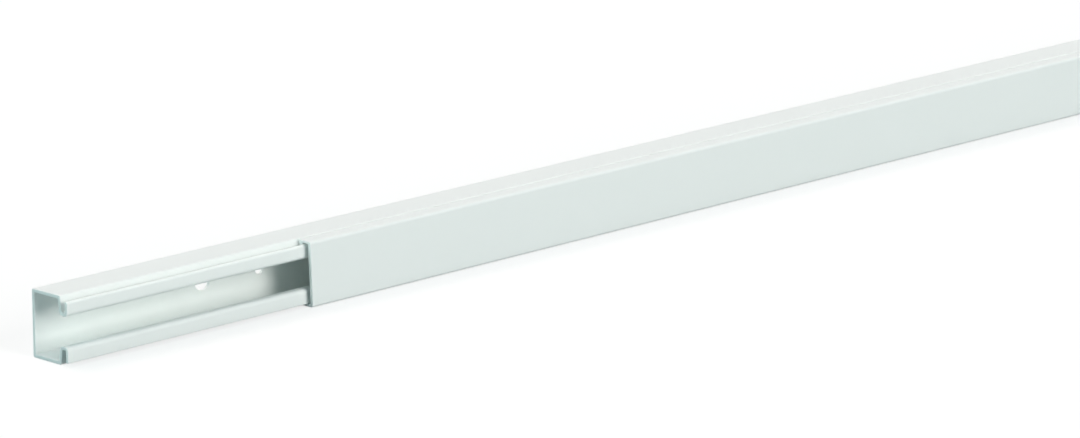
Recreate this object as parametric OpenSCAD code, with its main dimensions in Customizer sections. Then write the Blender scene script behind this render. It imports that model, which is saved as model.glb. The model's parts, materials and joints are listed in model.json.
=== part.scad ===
// Mini cable trunking: a channel with fixing holes in its back wall, and a cover that clips
// over the channel's two hooked lips. It lies on one side wall with the cover facing -Y and
// the back wall facing +Y. The cover is drawn along the channel, so that one end lies open.

/* [Trunking] */
// Length of the base, and of the cover
trunk_length = 2000; // [500:1:3000]
// Width across the back wall
trunk_width = 20; // [16:0.5:40]
// Depth from the back wall's face to the cover's face
trunk_depth = 17.4; // [12:0.1:40]
// How far the cover is drawn along the base
cover_drawn = 90; // [0:1:400]

/* [Base] */
// Thickness of the back wall and the side walls
base_wall = 1; // [0.8:0.1:1.4]
// Radius along the base's outer edges
edge_r = 0.5; // [0.2:0.1:0.8]
// Radius in the channel's inner corners
inner_r = 0.5; // [0.2:0.1:0.8]
// How far each lip reaches in from the side wall's face
lip_inward = 5.5; // [4.4:0.1:6]
// How far each lip reaches forward from the side wall's front edge
lip_forward = 3.1; // [2.8:0.1:4]
// Thickness of the lips
lip_wall = 1; // [0.6:0.1:1.1]
// Outer radius of the bends at the foot of the lips
lip_bend_r = 1.3; // [1.15:0.05:1.5]
// How far each lip's web leans forward, in degrees
web_lean = 8; // [0:1:9]

/* [Cover] */
// Thickness of the cover's face
cover_wall = 1.1; // [0.9:0.1:1.3]
// Thickness of the flanges along its sides
flange_wall = 0.7; // [0.6:0.05:1]
// How far the cover's sides lie inside the base's side faces
cover_inset = 0.15; // [0:0.05:0.4]
// Radius along the cover's outer edges
cover_r = 1.4; // [1.4:0.1:2.4]
// How far the cover's beads reach behind the tips of the lips
bead_hook = 0.5; // [0.2:0.05:0.8]
// Radius along the beads' edges
bead_r = 0.2; // [0.1:0.05:0.25]
// Space between the front of the lips and the inside of the cover
cover_space = 1.2; // [0.6:0.1:2]
// Clearance between the cover and the base where they clip together
fit_gap = 0.3; // [0.15:0.05:0.4]

/* [Fixing holes] */
// Distance from the end of the base to the middle of the first oblong hole
first_hole = 62.5; // [20:0.5:200]
// Distance from one pair of holes to the next
hole_pitch = 125; // [60:1:500]
// Distance from the oblong hole of a pair to the round one
pair_gap = 22; // [10:0.5:40]
// Length of the oblong holes, along the base
oblong_length = 5.4; // [4.5:0.1:8]
// Width of the oblong holes
oblong_width = 4.4; // [3:0.1:4.4]
// Diameter of the round holes
round_hole_d = 3.2; // [2.5:0.1:5]

/* [Hidden] */
$fn = 48;
plastic = [0.91, 0.925, 0.918];
half_w = trunk_width / 2;
base_start = -(trunk_length + cover_drawn) / 2;
cover_start = base_start + cover_drawn;
cut_extra = 1;
// Radius along the lips' tips as a share of the lips' thickness, where a half is a full round
tip_share = 0.45;

// The sections are drawn with depth from the back wall along x and width along y.
// The lips' tips leave room for the cover's flanges, which lie just inside the side faces.
lip_depth = trunk_depth - cover_wall - cover_space;
step_depth = lip_depth - lip_forward;
cover_half_w = half_w - cover_inset;
lip_tip = cover_half_w - flange_wall - fit_gap;
lip_tip_r = tip_share * lip_wall;
lip_foot = half_w - lip_inward;
groove_floor = lip_foot + lip_wall;
groove_front = lip_depth - lip_wall;
groove_r = lip_bend_r - lip_wall;
bead_tip = lip_tip - bead_hook;
bead_front = groove_front - fit_gap;

// Depth of the front and of the rear face of a lip's web, at a distance from the middle
function web_front(y) = step_depth + (half_w - y) * tan(web_lean);
function web_rear(y) = web_front(y) - lip_wall / cos(web_lean);

function flat(p) = [p[0], p[1]];
function unit(v) = v / norm(v);
function turn(a, b, c) = acos(unit(b - a) * unit(c - b));
// Distance from the corner b to where the arc that rounds it begins
function reach(a, b, c, r) = r * tan(turn(a, b, c) / 2);
function arc_centre(a, b, c, r) =
    b + unit(unit(c - b) - unit(b - a)) * r / cos(turn(a, b, c) / 2);

// What lies between the corner b and the arc that rounds it, and a little past the corner
module corner(a, b, c, r) {
    centre = arc_centre(a, b, c, r);
    past = b + (b - centre) / 2;
    along = reach(a, b, c, r);
    difference() {
        polygon([b - unit(b - a) * along, past, b + unit(c - b) * along, centre]);
        translate(centre)
            circle(r = r);
    }
}

// An outline of [x, y, r] points: r above 0 rounds an outer corner, r below 0 fills an inner one
module rounded(outline) {
    difference() {
        union() {
            polygon([for (p = outline) flat(p)]);
            corners(outline, -1);
        }
        corners(outline, 1);
    }
}

// The outline's outer corners where side is 1, and its inner ones, the other way round, where it is -1
module corners(outline, side) {
    count = len(outline);
    for (i = [0 : count - 1]) {
        before = flat(outline[(i + count - side) % count]);
        after = flat(outline[(i + count + side) % count]);
        r = outline[i][2] * side;
        if (r > 0)
            corner(before, flat(outline[i]), after, r);
    }
}

// Both halves of an outline, from the half on the positive side of the middle
function both_halves(half) =
    concat(half, [for (i = [len(half) - 1 : -1 : 0]) [half[i][0], -half[i][1], half[i][2]]]);

module base_section() {
    inside = half_w - base_wall;
    rounded(both_halves([
        [0, half_w, edge_r],
        [step_depth, half_w, edge_r],
        [web_front(groove_floor), groove_floor, -groove_r],
        [groove_front, groove_floor, -groove_r],
        [groove_front, lip_tip, lip_tip_r],
        [lip_depth, lip_tip, lip_tip_r],
        [lip_depth, lip_foot, lip_bend_r],
        [web_rear(lip_foot), lip_foot, lip_bend_r],
        [web_rear(inside), inside, -inner_r],
        [base_wall, inside, -inner_r],
    ]));
}

module cover_section() {
    inside = cover_half_w - flange_wall;
    face_inside = trunk_depth - cover_wall;
    rounded(both_halves([
        [trunk_depth, cover_half_w, cover_r],
        [web_front(cover_half_w) + fit_gap, cover_half_w, bead_r],
        [web_front(bead_tip) + fit_gap, bead_tip, bead_r],
        [bead_front, bead_tip, bead_r],
        [groove_front, inside, -bead_r],
        [face_inside, inside, -(cover_r - cover_wall)],
    ]));
}

// Runs a section along the trunking from a place on the X axis
module extrude_from(start) {
    translate([start, trunk_depth / 2, half_w])
        rotate([90, 0, 90])
            linear_extrude(trunk_length)
                mirror([1, 0])
                    children();
}

module round_hole(x, d) {
    translate([base_start + x, trunk_depth / 2 + cut_extra, half_w])
        rotate([90, 0, 0])
            cylinder(d = d, h = base_wall + 2 * cut_extra);
}

// An oblong hole along the base: a straight middle between two round ends
module oblong_hole(x, length, width) {
    straight = length - width;
    depth = base_wall + 2 * cut_extra;
    for (side = [-1, 1])
        round_hole(x + side * straight / 2, width);
    translate([base_start + x, trunk_depth / 2 + cut_extra - depth / 2, half_w])
        cube([straight, depth, width], center = true);
}

module base() {
    last_pair = trunk_length - pair_gap - oblong_length;
    color(plastic)
        difference() {
            extrude_from(base_start)
                base_section();
            for (x = [first_hole : hole_pitch : last_pair]) {
                oblong_hole(x, oblong_length, oblong_width);
                round_hole(x + pair_gap, round_hole_d);
            }
        }
}

module cover() {
    color(plastic)
        extrude_from(cover_start)
            cover_section();
}

base();
cover();
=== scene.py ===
import json
import math

import bmesh
import bpy
from mathutils import Matrix, Vector

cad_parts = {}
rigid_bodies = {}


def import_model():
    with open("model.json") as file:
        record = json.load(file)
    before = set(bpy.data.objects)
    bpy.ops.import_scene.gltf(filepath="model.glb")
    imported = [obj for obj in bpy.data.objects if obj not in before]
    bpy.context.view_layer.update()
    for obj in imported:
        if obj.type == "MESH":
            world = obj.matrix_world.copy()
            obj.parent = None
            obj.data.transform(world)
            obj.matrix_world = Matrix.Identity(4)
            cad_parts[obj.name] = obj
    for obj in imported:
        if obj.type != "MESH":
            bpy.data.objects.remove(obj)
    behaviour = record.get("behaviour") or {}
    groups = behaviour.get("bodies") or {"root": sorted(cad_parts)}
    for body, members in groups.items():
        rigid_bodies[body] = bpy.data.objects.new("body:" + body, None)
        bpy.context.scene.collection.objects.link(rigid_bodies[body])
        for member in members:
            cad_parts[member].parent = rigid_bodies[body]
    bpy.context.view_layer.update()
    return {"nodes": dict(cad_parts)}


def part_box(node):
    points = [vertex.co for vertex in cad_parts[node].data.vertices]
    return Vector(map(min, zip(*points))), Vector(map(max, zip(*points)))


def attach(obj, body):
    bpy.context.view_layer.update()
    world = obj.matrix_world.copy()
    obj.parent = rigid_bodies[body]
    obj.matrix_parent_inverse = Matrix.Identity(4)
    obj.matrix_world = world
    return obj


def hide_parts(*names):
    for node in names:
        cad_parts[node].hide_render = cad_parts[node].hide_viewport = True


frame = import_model()
print("frame loaded:", sorted(frame["nodes"]))

mm = 0.001  # the pieces are modelled in millimetres, and scaled to metres when they are finished
baseLow, baseHigh = [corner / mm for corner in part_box("base")]
coverLow, coverHigh = [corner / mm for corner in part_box("cover")]
backFace = baseHigh.y  # depths are measured from here, towards -Y
middle = (baseLow.z + baseHigh.z) / 2  # and widths from here, up and down
halfWidth = (baseHigh.z - baseLow.z) / 2
lipDepth = baseHigh.y - baseLow.y
coverDepth = baseHigh.y - coverLow.y
coverHalfWidth = (coverHigh.z - coverLow.z) / 2

trim = 2  # each piece is drawn this much longer at both ends, and sawn to length
samePlace = 0.001  # points nearer than this count as one
sameWay = 0.999  # and so do normals whose dot product is above this
# how much of a normal points along Y: less than this on a hole's side, and more than this on the wall
sideOn, faceOn = 0.1, 0.9
smoothAngle = math.radians(40)


# Selecting and shaping

def deselectAll():
    bpy.ops.object.select_all(action="DESELECT")


def pick(piece, kind, test):
    # in edit mode, selects the vertices, edges or faces that pass the test
    bpy.ops.mesh.select_mode(type=kind)
    bpy.ops.mesh.select_all(action="DESELECT")
    mesh = bmesh.from_edit_mesh(piece.data)
    for item in {"VERT": mesh.verts, "EDGE": mesh.edges, "FACE": mesh.faces}[kind]:
        item.select_set(test(item))
    bmesh.update_edit_mesh(piece.data)


def place(x, depth, width):
    return Vector((x, backFace - depth, middle + width))


def bothSides(upper, lower):
    # corners of (depth, width, radius) on the upper side, then those of the lower side, backwards
    return upper + [(depth, -width, radius) for depth, width, radius in reversed(lower)]


def drawSection(name, corners, x):
    # a plane shrinks to its middle, which is drawn from corner to corner and filled
    deselectAll()
    bpy.ops.mesh.primitive_plane_add(size=1, location=place(x, *corners[0][:2]))
    piece = bpy.context.object
    piece.name = piece.data.name = name
    bpy.ops.object.transform_apply(location=True, rotation=False, scale=False)
    bpy.ops.object.mode_set(mode="EDIT")
    bpy.ops.mesh.select_mode(type="VERT")
    bpy.ops.mesh.merge(type="CENTER")
    for here, there in zip(corners, corners[1:]):
        step = place(0, *there[:2]) - place(0, *here[:2])
        bpy.ops.mesh.extrude_vertices_move(TRANSFORM_OT_translate={"value": step})
    bpy.ops.mesh.select_all(action="SELECT")
    bpy.ops.mesh.edge_face_add()
    return piece


def pullAlong(length):
    bpy.ops.mesh.extrude_region_move(TRANSFORM_OT_translate={"value": (length, 0, 0)})
    bpy.ops.mesh.select_all(action="SELECT")
    bpy.ops.mesh.normals_make_consistent(inside=False)


def liesAlong(edge, spot):
    # whether an edge is on the line along X through this spot
    return all((vert.co - spot).yz.length < samePlace for vert in edge.verts)


def roundLongEdges(piece, corners, arcSteps):
    for i, (depth, width, radius) in enumerate(corners):
        before, corner, after = [Vector(corners[k % len(corners)][:2]) for k in (i - 1, i, i + 1)]
        turn = (corner - before).angle(after - corner)
        spot = place(0, depth, width)
        pick(piece, "EDGE", lambda edge: liesAlong(edge, spot))
        bpy.ops.mesh.bevel(
            offset=radius * math.tan(turn / 2),
            segments=arcSteps,
            profile=0.5,
            affect="EDGES",
            clamp_overlap=False,
        )


def drawPiece(name, corners, low, high, arcSteps):
    # a section pulled to its length with both trims, and rounded, left in edit mode
    piece = drawSection(name, corners, low.x - trim)
    pullAlong(high.x - low.x + 2 * trim)
    for finish in (skin, cutFace):
        piece.data.materials.append(finish)
    roundLongEdges(piece, corners, arcSteps)
    return piece


def cutAcross(xs):
    for x in xs:
        bpy.ops.mesh.select_all(action="SELECT")
        bpy.ops.mesh.bisect(plane_co=(x, 0, 0), plane_no=(1, 0, 0))


def sawEnd(piece, x, outward, lean, rim):
    # a saw cut across the section, with its sharp rim broken by an inset
    normal = Vector((outward, 0, outward * math.tan(lean))).normalized()
    bpy.ops.mesh.select_all(action="SELECT")
    bpy.ops.mesh.bisect(
        plane_co=(x - outward * rim, 0, middle), plane_no=normal, use_fill=True, clear_outer=True
    )
    pick(piece, "FACE", lambda face: face.normal.dot(normal) > sameWay)
    bpy.ops.mesh.inset(thickness=rim, depth=rim, use_even_offset=True)
    bpy.ops.mesh.select_more()
    piece.active_material_index = piece.data.materials.find(cutFace.name)
    bpy.ops.object.material_slot_assign()


def finishPiece(piece, body, node):
    bpy.ops.object.mode_set(mode="OBJECT")
    piece.scale = (mm, mm, mm)
    bpy.ops.object.transform_apply()
    bpy.ops.object.shade_smooth_by_angle(angle=smoothAngle)
    weighted = piece.modifiers.new("flatFaces", "WEIGHTED_NORMAL")
    weighted.keep_sharp = True
    weighted.weight = 100  # the large faces decide, so they look flat
    bpy.ops.object.modifier_apply(modifier=weighted.name)
    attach(piece, body)
    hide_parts(node)
    print(piece.name, "has", len(piece.data.polygons), "faces")


# Shader maths

class Link:
    # a node's output, on which sums are written as usual
    def __init__(self, paint, socket):
        self.paint = paint
        self.socket = socket

    def maths(self, operation, first, second):
        return self.paint.add("ShaderNodeMath", {"operation": operation}, {0: first, 1: second})

    def __add__(self, other):
        return self.maths("ADD", self, other)

    def __radd__(self, other):
        return self.maths("ADD", other, self)

    def __sub__(self, other):
        return self.maths("SUBTRACT", self, other)

    def __rsub__(self, other):
        return self.maths("SUBTRACT", other, self)

    def __mul__(self, other):
        return self.maths("MULTIPLY", self, other)

    def __rmul__(self, other):
        return self.maths("MULTIPLY", other, self)


class Paint:
    # a material or a world, and the nodes that are added to it
    def __init__(self, owner):
        owner.use_nodes = True
        self.owner = owner
        self.tree = owner.node_tree
        self.tree.nodes.clear()

    def add(self, kind, settings={}, inputs={}, out=0):
        node = self.tree.nodes.new(kind)
        for name, value in settings.items():
            setattr(node, name, value)
        for name, value in inputs.items():
            if isinstance(value, Link):
                self.tree.links.new(value.socket, node.inputs[name])
            else:
                node.inputs[name].default_value = value
        return Link(self, node.outputs[out] if len(node.outputs) else None)


def mixColours(paint, share, first, second):
    # a Mix node's sockets share their names, so those for colours go by number
    return paint.add("ShaderNodeMix", {"data_type": "RGBA"}, {0: share, 6: first, 7: second}, out=2)


def stretch(paint, spot, scales):
    return paint.add("ShaderNodeVectorMath", {"operation": "MULTIPLY"}, {0: spot, 1: scales})


def noise(paint, spot, scale, detail):
    return paint.add("ShaderNodeTexNoise", {}, {"Vector": spot, "Scale": scale, "Detail": detail})


# Finishes

pvcBody = {  # white PVC lets a little light through its thin walls
    "IOR": 1.53,
    "Subsurface Weight": 0.8,
    "Subsurface Radius": (1, 1, 1),
    "Subsurface Scale": 0.5 * mm,
}

pvcLook = {
    "colour": (0.891, 0.914, 0.904, 1),
    "shade": (0.875, 0.900, 0.889, 1),  # the cloudy patches, a little deeper
    "roughness": 0.36,
    "streaks": 0.10,  # how far the streaks from the die change the roughness
    "streakScales": (2, 900, 900),  # they run along X, so the pattern hardly changes that way
    "streakDetail": 3.0,
    "cloudScale": 60.0,
    "cloudDetail": 2.0,
    "grainScale": 2600.0,
    "grainDetail": 1.0,
    "streakShare": 0.7,  # what streaks and grain have in the surface's height
    "grainShare": 0.3,
    "lineHeight": 0.006 * mm,
}

sawnLook = {
    "colour": (0.893, 0.916, 0.906, 1),
    "shade": (0.853, 0.878, 0.867, 1),
    "roughness": 0.62,
    "markScales": (900, 300, 5000),  # tooth marks run across the cut, from front to back
    "markDetail": 2.0,
    "markHeight": 0.02 * mm,
}


def pvcMaterial(paint, colour, roughness, height, distance):
    bump = paint.add("ShaderNodeBump", {}, {"Height": height, "Distance": distance, "Strength": 1.0})
    shader = paint.add(
        "ShaderNodeBsdfPrincipled",
        {},
        {"Base Color": colour, "Roughness": roughness, "Normal": bump, **pvcBody},
    )
    paint.add("ShaderNodeOutputMaterial", {}, {"Surface": shader})
    return paint.owner


def satinPvc():
    paint = Paint(bpy.data.materials.new("satinPvc"))
    spot = paint.add("ShaderNodeTexCoord", out="Object")
    streaks = noise(paint, stretch(paint, spot, pvcLook["streakScales"]), 1.0, pvcLook["streakDetail"])
    clouds = noise(paint, spot, pvcLook["cloudScale"], pvcLook["cloudDetail"])
    grain = noise(paint, spot, pvcLook["grainScale"], pvcLook["grainDetail"])
    colour = mixColours(paint, clouds, pvcLook["colour"], pvcLook["shade"])
    roughness = pvcLook["roughness"] + (streaks - 0.5) * pvcLook["streaks"]
    height = streaks * pvcLook["streakShare"] + grain * pvcLook["grainShare"]
    return pvcMaterial(paint, colour, roughness, height, pvcLook["lineHeight"])


def sawnPvc():
    paint = Paint(bpy.data.materials.new("sawnPvc"))
    spot = paint.add("ShaderNodeTexCoord", out="Object")
    marks = noise(paint, stretch(paint, spot, sawnLook["markScales"]), 1.0, sawnLook["markDetail"])
    colour = mixColours(paint, marks, sawnLook["colour"], sawnLook["shade"])
    return pvcMaterial(paint, colour, sawnLook["roughness"], marks, sawnLook["markHeight"])


skin = satinPvc()
cutFace = sawnPvc()
print("finishes made")

# Base: the channel with its two hooked lips and its fixing holes

base = {
    "wall": 1.0,
    "stepDepth": 12.0,  # depth of the side walls
    "edgeRadius": 0.5,
    "innerRadius": 0.5,
    "lipWall": 1.0,
    "lipBend": 1.3,
    # each lip's foot and tip, from the middle, and the rounding in front of its tip and behind it
    "upperLip": {"foot": 4.3, "tip": 8.65, "frontRadius": 0.75, "rearRadius": 0.2},
    "lowerLip": {"foot": 4.5, "tip": 9.1, "frontRadius": 0.3, "rearRadius": 0.3},
    "webLean": math.radians(8),
    "arcSteps": 7,
    "rim": 0.1,  # how far the sharp rims of cuts and holes are broken
    "rimSteps": 2,  # around the holes
    "firstHole": 62.5,
    "holePitch": 125,
    "pairs": 16,
    "pairGap": 22,
    "oblong": (5.4, 4.4),
    "roundHole": 3.2,
    "holeSteps": 48,
    "cutterDepth": 4,  # goes through the wall and past it on both sides
    "oblongClear": 7,  # the walls are cut across this far from the middle of a hole, on both sides
    "roundClear": 5,
}
grooveFront = lipDepth - base["lipWall"]


def webFront(width):
    return base["stepDepth"] + (halfWidth - width) * math.tan(base["webLean"])


def webRear(width):
    return webFront(width) - base["lipWall"] / math.cos(base["webLean"])


def baseHalf(lip):
    inside = halfWidth - base["wall"]
    grooveFloor = lip["foot"] + base["lipWall"]
    grooveRadius = base["lipBend"] - base["lipWall"]
    return [
        (0, halfWidth, base["edgeRadius"]),
        (base["stepDepth"], halfWidth, base["edgeRadius"]),
        (webFront(grooveFloor), grooveFloor, grooveRadius),
        (grooveFront, grooveFloor, grooveRadius),
        (grooveFront, lip["tip"], lip["rearRadius"]),
        (lipDepth, lip["tip"], lip["frontRadius"]),
        (lipDepth, lip["foot"], base["lipBend"]),
        (webRear(lip["foot"]), lip["foot"], base["lipBend"]),
        (webRear(inside), inside, base["innerRadius"]),
        (base["wall"], inside, base["innerRadius"]),
    ]


def holeCutter(name, x, length, width):
    # a cylinder whose two halves are drawn apart along X, repeated along the base
    deselectAll()
    bpy.ops.mesh.primitive_cylinder_add(
        vertices=base["holeSteps"],
        radius=width / 2,
        depth=base["cutterDepth"],
        location=place(x, 0, 0),
        rotation=(math.pi / 2, math.pi / base["holeSteps"], 0),
    )
    cutter = bpy.context.object
    cutter.name = name
    bpy.ops.object.transform_apply()
    bpy.ops.object.mode_set(mode="EDIT")
    for side in (-1, 1):
        pick(cutter, "VERT", lambda vert: (vert.co.x - x) * side > 0)
        bpy.ops.transform.translate(value=(side * (length - width) / 2, 0, 0))
    bpy.ops.object.mode_set(mode="OBJECT")
    row = cutter.modifiers.new("row", "ARRAY")
    row.count = base["pairs"]
    row.use_relative_offset = False
    row.use_constant_offset = True
    row.constant_offset_displace = (base["holePitch"], 0, 0)
    bpy.ops.object.modifier_apply(modifier=row.name)
    return cutter


def cutHoles(piece, oblongStart):
    roundStart = oblongStart + base["pairGap"]
    rounds = holeCutter("roundCutter", roundStart, base["roundHole"], base["roundHole"])
    cutter = holeCutter("oblongCutter", oblongStart, *base["oblong"])
    rounds.select_set(True)
    bpy.ops.object.join()
    deselectAll()
    piece.select_set(True)
    bpy.context.view_layer.objects.active = piece
    holes = piece.modifiers.new("holes", "BOOLEAN")
    holes.operation = "DIFFERENCE"
    holes.solver = "EXACT"
    holes.object = cutter
    bpy.ops.object.modifier_apply(modifier=holes.name)
    bpy.data.objects.remove(cutter)


def isHoleRim(edge):
    # an edge between a hole's side and a face of the back wall, away from the ends
    if len(edge.link_faces) != 2:
        return False
    facing = sorted(abs(face.normal.y) for face in edge.link_faces)
    centre = (edge.verts[0].co + edge.verts[1].co) / 2
    oblongLength, oblongWidth = base["oblong"]
    onWall = abs(centre.z - middle) < oblongWidth and centre.y > backFace - 2 * base["wall"]
    away = min(centre.x - baseLow.x, baseHigh.x - centre.x) > oblongLength
    return onWall and away and facing[0] < sideOn and facing[1] > faceOn


def makeBase():
    corners = bothSides(baseHalf(base["upperLip"]), baseHalf(base["lowerLip"]))
    piece = drawPiece("channel", corners, baseLow, baseHigh, base["arcSteps"])
    oblongs = [baseLow.x + base["firstHole"] + base["holePitch"] * i for i in range(base["pairs"])]
    clear = ((0, base["oblongClear"]), (base["pairGap"], base["roundClear"]))
    cutAcross(x + (hole + side * away) for x in oblongs for hole, away in clear for side in (-1, 1))
    bpy.ops.object.mode_set(mode="OBJECT")
    cutHoles(piece, oblongs[0])
    bpy.ops.object.mode_set(mode="EDIT")
    pick(piece, "EDGE", isHoleRim)
    bpy.ops.mesh.bevel(
        offset=base["rim"], segments=base["rimSteps"], affect="EDGES", clamp_overlap=False
    )
    sawEnd(piece, baseLow.x, -1, 0, base["rim"])
    sawEnd(piece, baseHigh.x, 1, 0, base["rim"])
    finishPiece(piece, "base", "base")


# Cover: the plate with its two flanges, whose beads hook behind the lips

cover = {
    "wall": 1.1,
    "flangeWall": 0.7,
    "radius": 0.9,
    "innerRadius": 0.3,
    "beadTip": 8.35,  # from the middle
    "beadRadius": 0.2,
    "gap": 0.3,  # clearance to the base
    "arcSteps": 7,
    "rim": 0.1,
    "nearLean": math.radians(2.3),  # the near end is sawn a little aslant
    "cutPitch": 125,  # distance between the cuts across, which keep the long faces short
}


def coverHalf():
    inside = coverHalfWidth - cover["flangeWall"]
    beadTip = cover["beadTip"]
    return [
        (coverDepth, coverHalfWidth, cover["radius"]),
        (webFront(coverHalfWidth) + cover["gap"], coverHalfWidth, cover["beadRadius"]),
        (webFront(beadTip) + cover["gap"], beadTip, cover["beadRadius"]),
        (grooveFront - cover["gap"], beadTip, cover["beadRadius"]),
        (grooveFront, inside, cover["beadRadius"]),
        (coverDepth - cover["wall"], inside, cover["innerRadius"]),
    ]


def makeCover():
    corners = bothSides(coverHalf(), coverHalf())
    piece = drawPiece("clipCover", corners, coverLow, coverHigh, cover["arcSteps"])
    lengths = round((coverHigh.x - coverLow.x) / cover["cutPitch"])
    cutAcross(coverLow.x + cover["cutPitch"] * i for i in range(1, lengths))
    sawEnd(piece, coverLow.x, -1, cover["nearLean"], cover["rim"])
    sawEnd(piece, coverHigh.x, 1, 0, cover["rim"])
    finishPiece(piece, "cover", "cover")


makeBase()
makeCover()

# Floor, light and camera

stage = {
    "floorSize": 80,
    "floorDrop": 0.05 * mm,  # keeps the floor just clear of the underside
    "floorBounce": (0.22, 0.29, 0.30, 1),  # what the floor gives back to the object
    "floorSeen": (1.22, 1.22, 1.22, 1),  # and how the camera sees it, just white
    "floorGlow": 0.7,  # share of that white which no shadow darkens
    "bounces": 20,  # pale walls pass the light on deep into the channel
    "ambient": (0.08, 0.14, 0.16, 1),
    "backdrop": (1, 1, 1, 1),
    "sunDistance": 3,
    "suns": {  # strength, azimuth, elevation and spread in degrees, and colour
        "lowKey": (1.6, 8, 7, 30, (1.0, 0.993, 0.956)),
        "highKey": (1.01, 5, 29, 26, (1.0, 0.993, 0.956)),
        "topSun": (1.42, 180, 65, 30, (1.0, 0.83, 0.78)),
        "sideSun": (1.3, -106, 24, 56, (0.78, 1.0, 0.98)),
    },
}

view = {
    "spot": (-2.0522, -1.2128, 0.4374),
    "yaw": math.radians(44.66),  # from +Y towards +X
    "pitch": math.radians(14.17),  # downwards
    "roll": math.radians(0.245),
    "lens": 194.5,
    "sensor": 36,
    "clip": (0.01, 200),
}


def seenRays(paint):
    # what the camera sees, straight on, in a reflection or through glass
    kinds = ("Camera", "Glossy", "Transmission")
    camera, glossy, through = [paint.add("ShaderNodeLightPath", out=f"Is {kind} Ray") for kind in kinds]
    return camera + glossy + through


def makeFloor():
    deselectAll()
    bpy.ops.mesh.primitive_plane_add(size=stage["floorSize"], location=(0, 0, -stage["floorDrop"]))
    floor = bpy.context.object
    floor.name = "floor"
    paint = Paint(bpy.data.materials.new("paleFloor"))
    rays = seenRays(paint)
    colour = mixColours(paint, rays, stage["floorBounce"], stage["floorSeen"])
    lit = paint.add("ShaderNodeBsdfDiffuse", {}, {"Color": colour})
    white = paint.add("ShaderNodeEmission", {}, {"Strength": 1.0})
    shader = paint.add("ShaderNodeMixShader", {}, {0: rays * stage["floorGlow"], 1: lit, 2: white})
    paint.add("ShaderNodeOutputMaterial", {}, {"Surface": shader})
    floor.data.materials.append(paint.owner)


def makeWorld():
    world = bpy.data.worlds.new("studio")
    bpy.context.scene.world = world
    paint = Paint(world)
    colour = mixColours(paint, seenRays(paint), stage["ambient"], stage["backdrop"])
    shader = paint.add("ShaderNodeBackground", {}, {"Color": colour, "Strength": 1.0})
    paint.add("ShaderNodeOutputWorld", {}, {"Surface": shader})


def makeSun(name, strength, azimuth, elevation, spread, colour):
    # azimuth 0 stands at -Y, in front of the cover, and 90 at +X
    azimuth, elevation = math.radians(azimuth), math.radians(elevation)
    outward = math.cos(elevation)
    towards = Vector((math.sin(azimuth) * outward, -math.cos(azimuth) * outward, math.sin(elevation)))
    deselectAll()
    bpy.ops.object.light_add(type="SUN", location=towards * stage["sunDistance"])
    sun = bpy.context.object
    sun.name = name
    sun.rotation_euler = towards.to_track_quat("Z", "Y").to_euler()
    sun.data.energy = strength
    sun.data.angle = math.radians(spread)
    sun.data.color = colour


def makeCamera():
    yaw, pitch, roll = view["yaw"], view["pitch"], view["roll"]
    outward = math.cos(pitch)
    ahead = Vector((math.sin(yaw) * outward, math.cos(yaw) * outward, -math.sin(pitch)))
    level = Vector((math.cos(yaw), -math.sin(yaw), 0))
    right = level * math.cos(roll) - level.cross(ahead) * math.sin(roll)
    up = right.cross(ahead)
    deselectAll()
    bpy.ops.object.camera_add(location=view["spot"])
    camera = bpy.context.object
    camera.rotation_euler = Matrix((right, up, -ahead)).transposed().to_euler()
    camera.data.lens = view["lens"]
    camera.data.sensor_width = view["sensor"]
    camera.data.clip_start, camera.data.clip_end = view["clip"]
    bpy.context.scene.camera = camera


makeFloor()
makeWorld()
for sunName, sunSettings in stage["suns"].items():
    makeSun(sunName, *sunSettings)
makeCamera()
bpy.context.scene.view_settings.view_transform = "Standard"
bpy.context.scene.cycles.max_bounces = stage["bounces"]
bpy.context.scene.cycles.diffuse_bounces = stage["bounces"]
print("floor, light and camera set")
